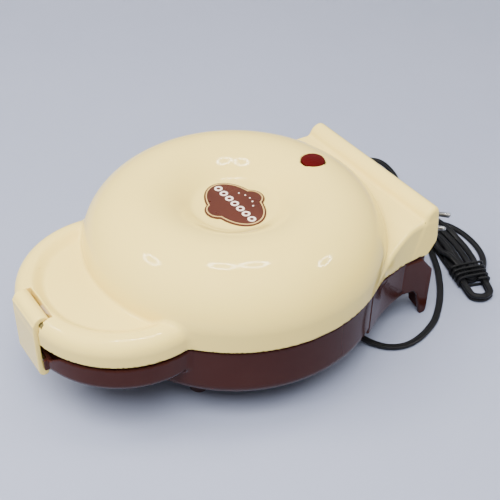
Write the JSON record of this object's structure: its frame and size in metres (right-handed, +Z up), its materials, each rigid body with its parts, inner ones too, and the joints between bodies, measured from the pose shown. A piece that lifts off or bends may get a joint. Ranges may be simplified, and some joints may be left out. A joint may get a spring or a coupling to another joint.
{
  "type": "donut maker",
  "caption": "Round clamshell donut maker with a cream domed lid, dark base, ring-shaped cooking cups, front latch lobe, indicator lamp and mains cord.",
  "frame": {"origin": "centre of the appliance's footprint box, on the table, without the cord", "axes": "+Z up, -Y to the latch at the front, +Y to the hinge, +X to the right"},
  "size_m": [0.2122, 0.3669, 0.1123],
  "materials": {
    "cream_plastic": "glossy cream moulded plastic",
    "brown_plastic": "glossy dark brown moulded plastic",
    "foot_plastic": "satin dark brown plastic",
    "badge_brown": "satin brown with a pale gold border",
    "lamp_red": "translucent red lens",
    "bulb_glass": "clear glass",
    "plate_coating": "cast aluminium with a dark non-stick coating",
    "steel": "plain steel",
    "ceramic": "pale heat-proof insulation",
    "cord_black": "black flexible sheath"
  },
  "bodies": {
    "base": {"base_shell": "brown_plastic", "bottom_cover": "brown_plastic", "cord_hank": "cord_black", "cord_tail": "cord_black", "cord_tie": "cord_black", "cover_screw_1": "steel", "cover_screw_2": "steel", "cover_screw_3": "steel", "cover_screw_4": "steel", "front_foot_left": "foot_plastic", "front_foot_right": "foot_plastic", "hinge_pin_left": "steel", "hinge_pin_right": "steel", "lower_heater": "steel", "lower_lead": "ceramic", "lower_plate": "plate_coating", "lower_plate_screw_1": "steel", "lower_plate_screw_2": "steel", "lower_plate_screw_3": "steel", "lower_plate_screw_4": "steel", "lower_reflector": "steel", "plug_body": "cord_black", "plug_pin_left": "steel", "plug_pin_right": "steel", "power_cord": "cord_black", "strain_relief": "cord_black", "terminal_block": "ceramic", "thermal_fuse": "bulb_glass", "thermostat": "ceramic", "wire_cover": "brown_plastic"},
    "lid": {"lid_shell": "cream_plastic", "badge": "badge_brown", "lamp_lens": "lamp_red", "lamp_bulb": "bulb_glass", "upper_plate": "plate_coating", "upper_heater": "steel", "upper_reflector": "steel", "upper_lead": "ceramic", "upper_plate_screw_1": "steel", "upper_plate_screw_2": "steel", "upper_plate_screw_3": "steel", "upper_plate_screw_4": "steel", "latch_pin": "steel"},
    "latch": {"latch_clip": "cream_plastic"}
  },
  "joints": [
    {"name": "lid_hinge", "type": "hinge", "parent": "base", "child": "lid", "pos_m": [0, 0.12215, 0.069], "axis": [-1, 0, 0], "range_deg": [0, 95]},
    {"name": "latch_pivot", "type": "hinge", "parent": "lid", "child": "latch", "pos_m": [0, -0.12945, 0.0768], "axis": [-1, 0, 0], "range_deg": [0, 75]}
  ]
}
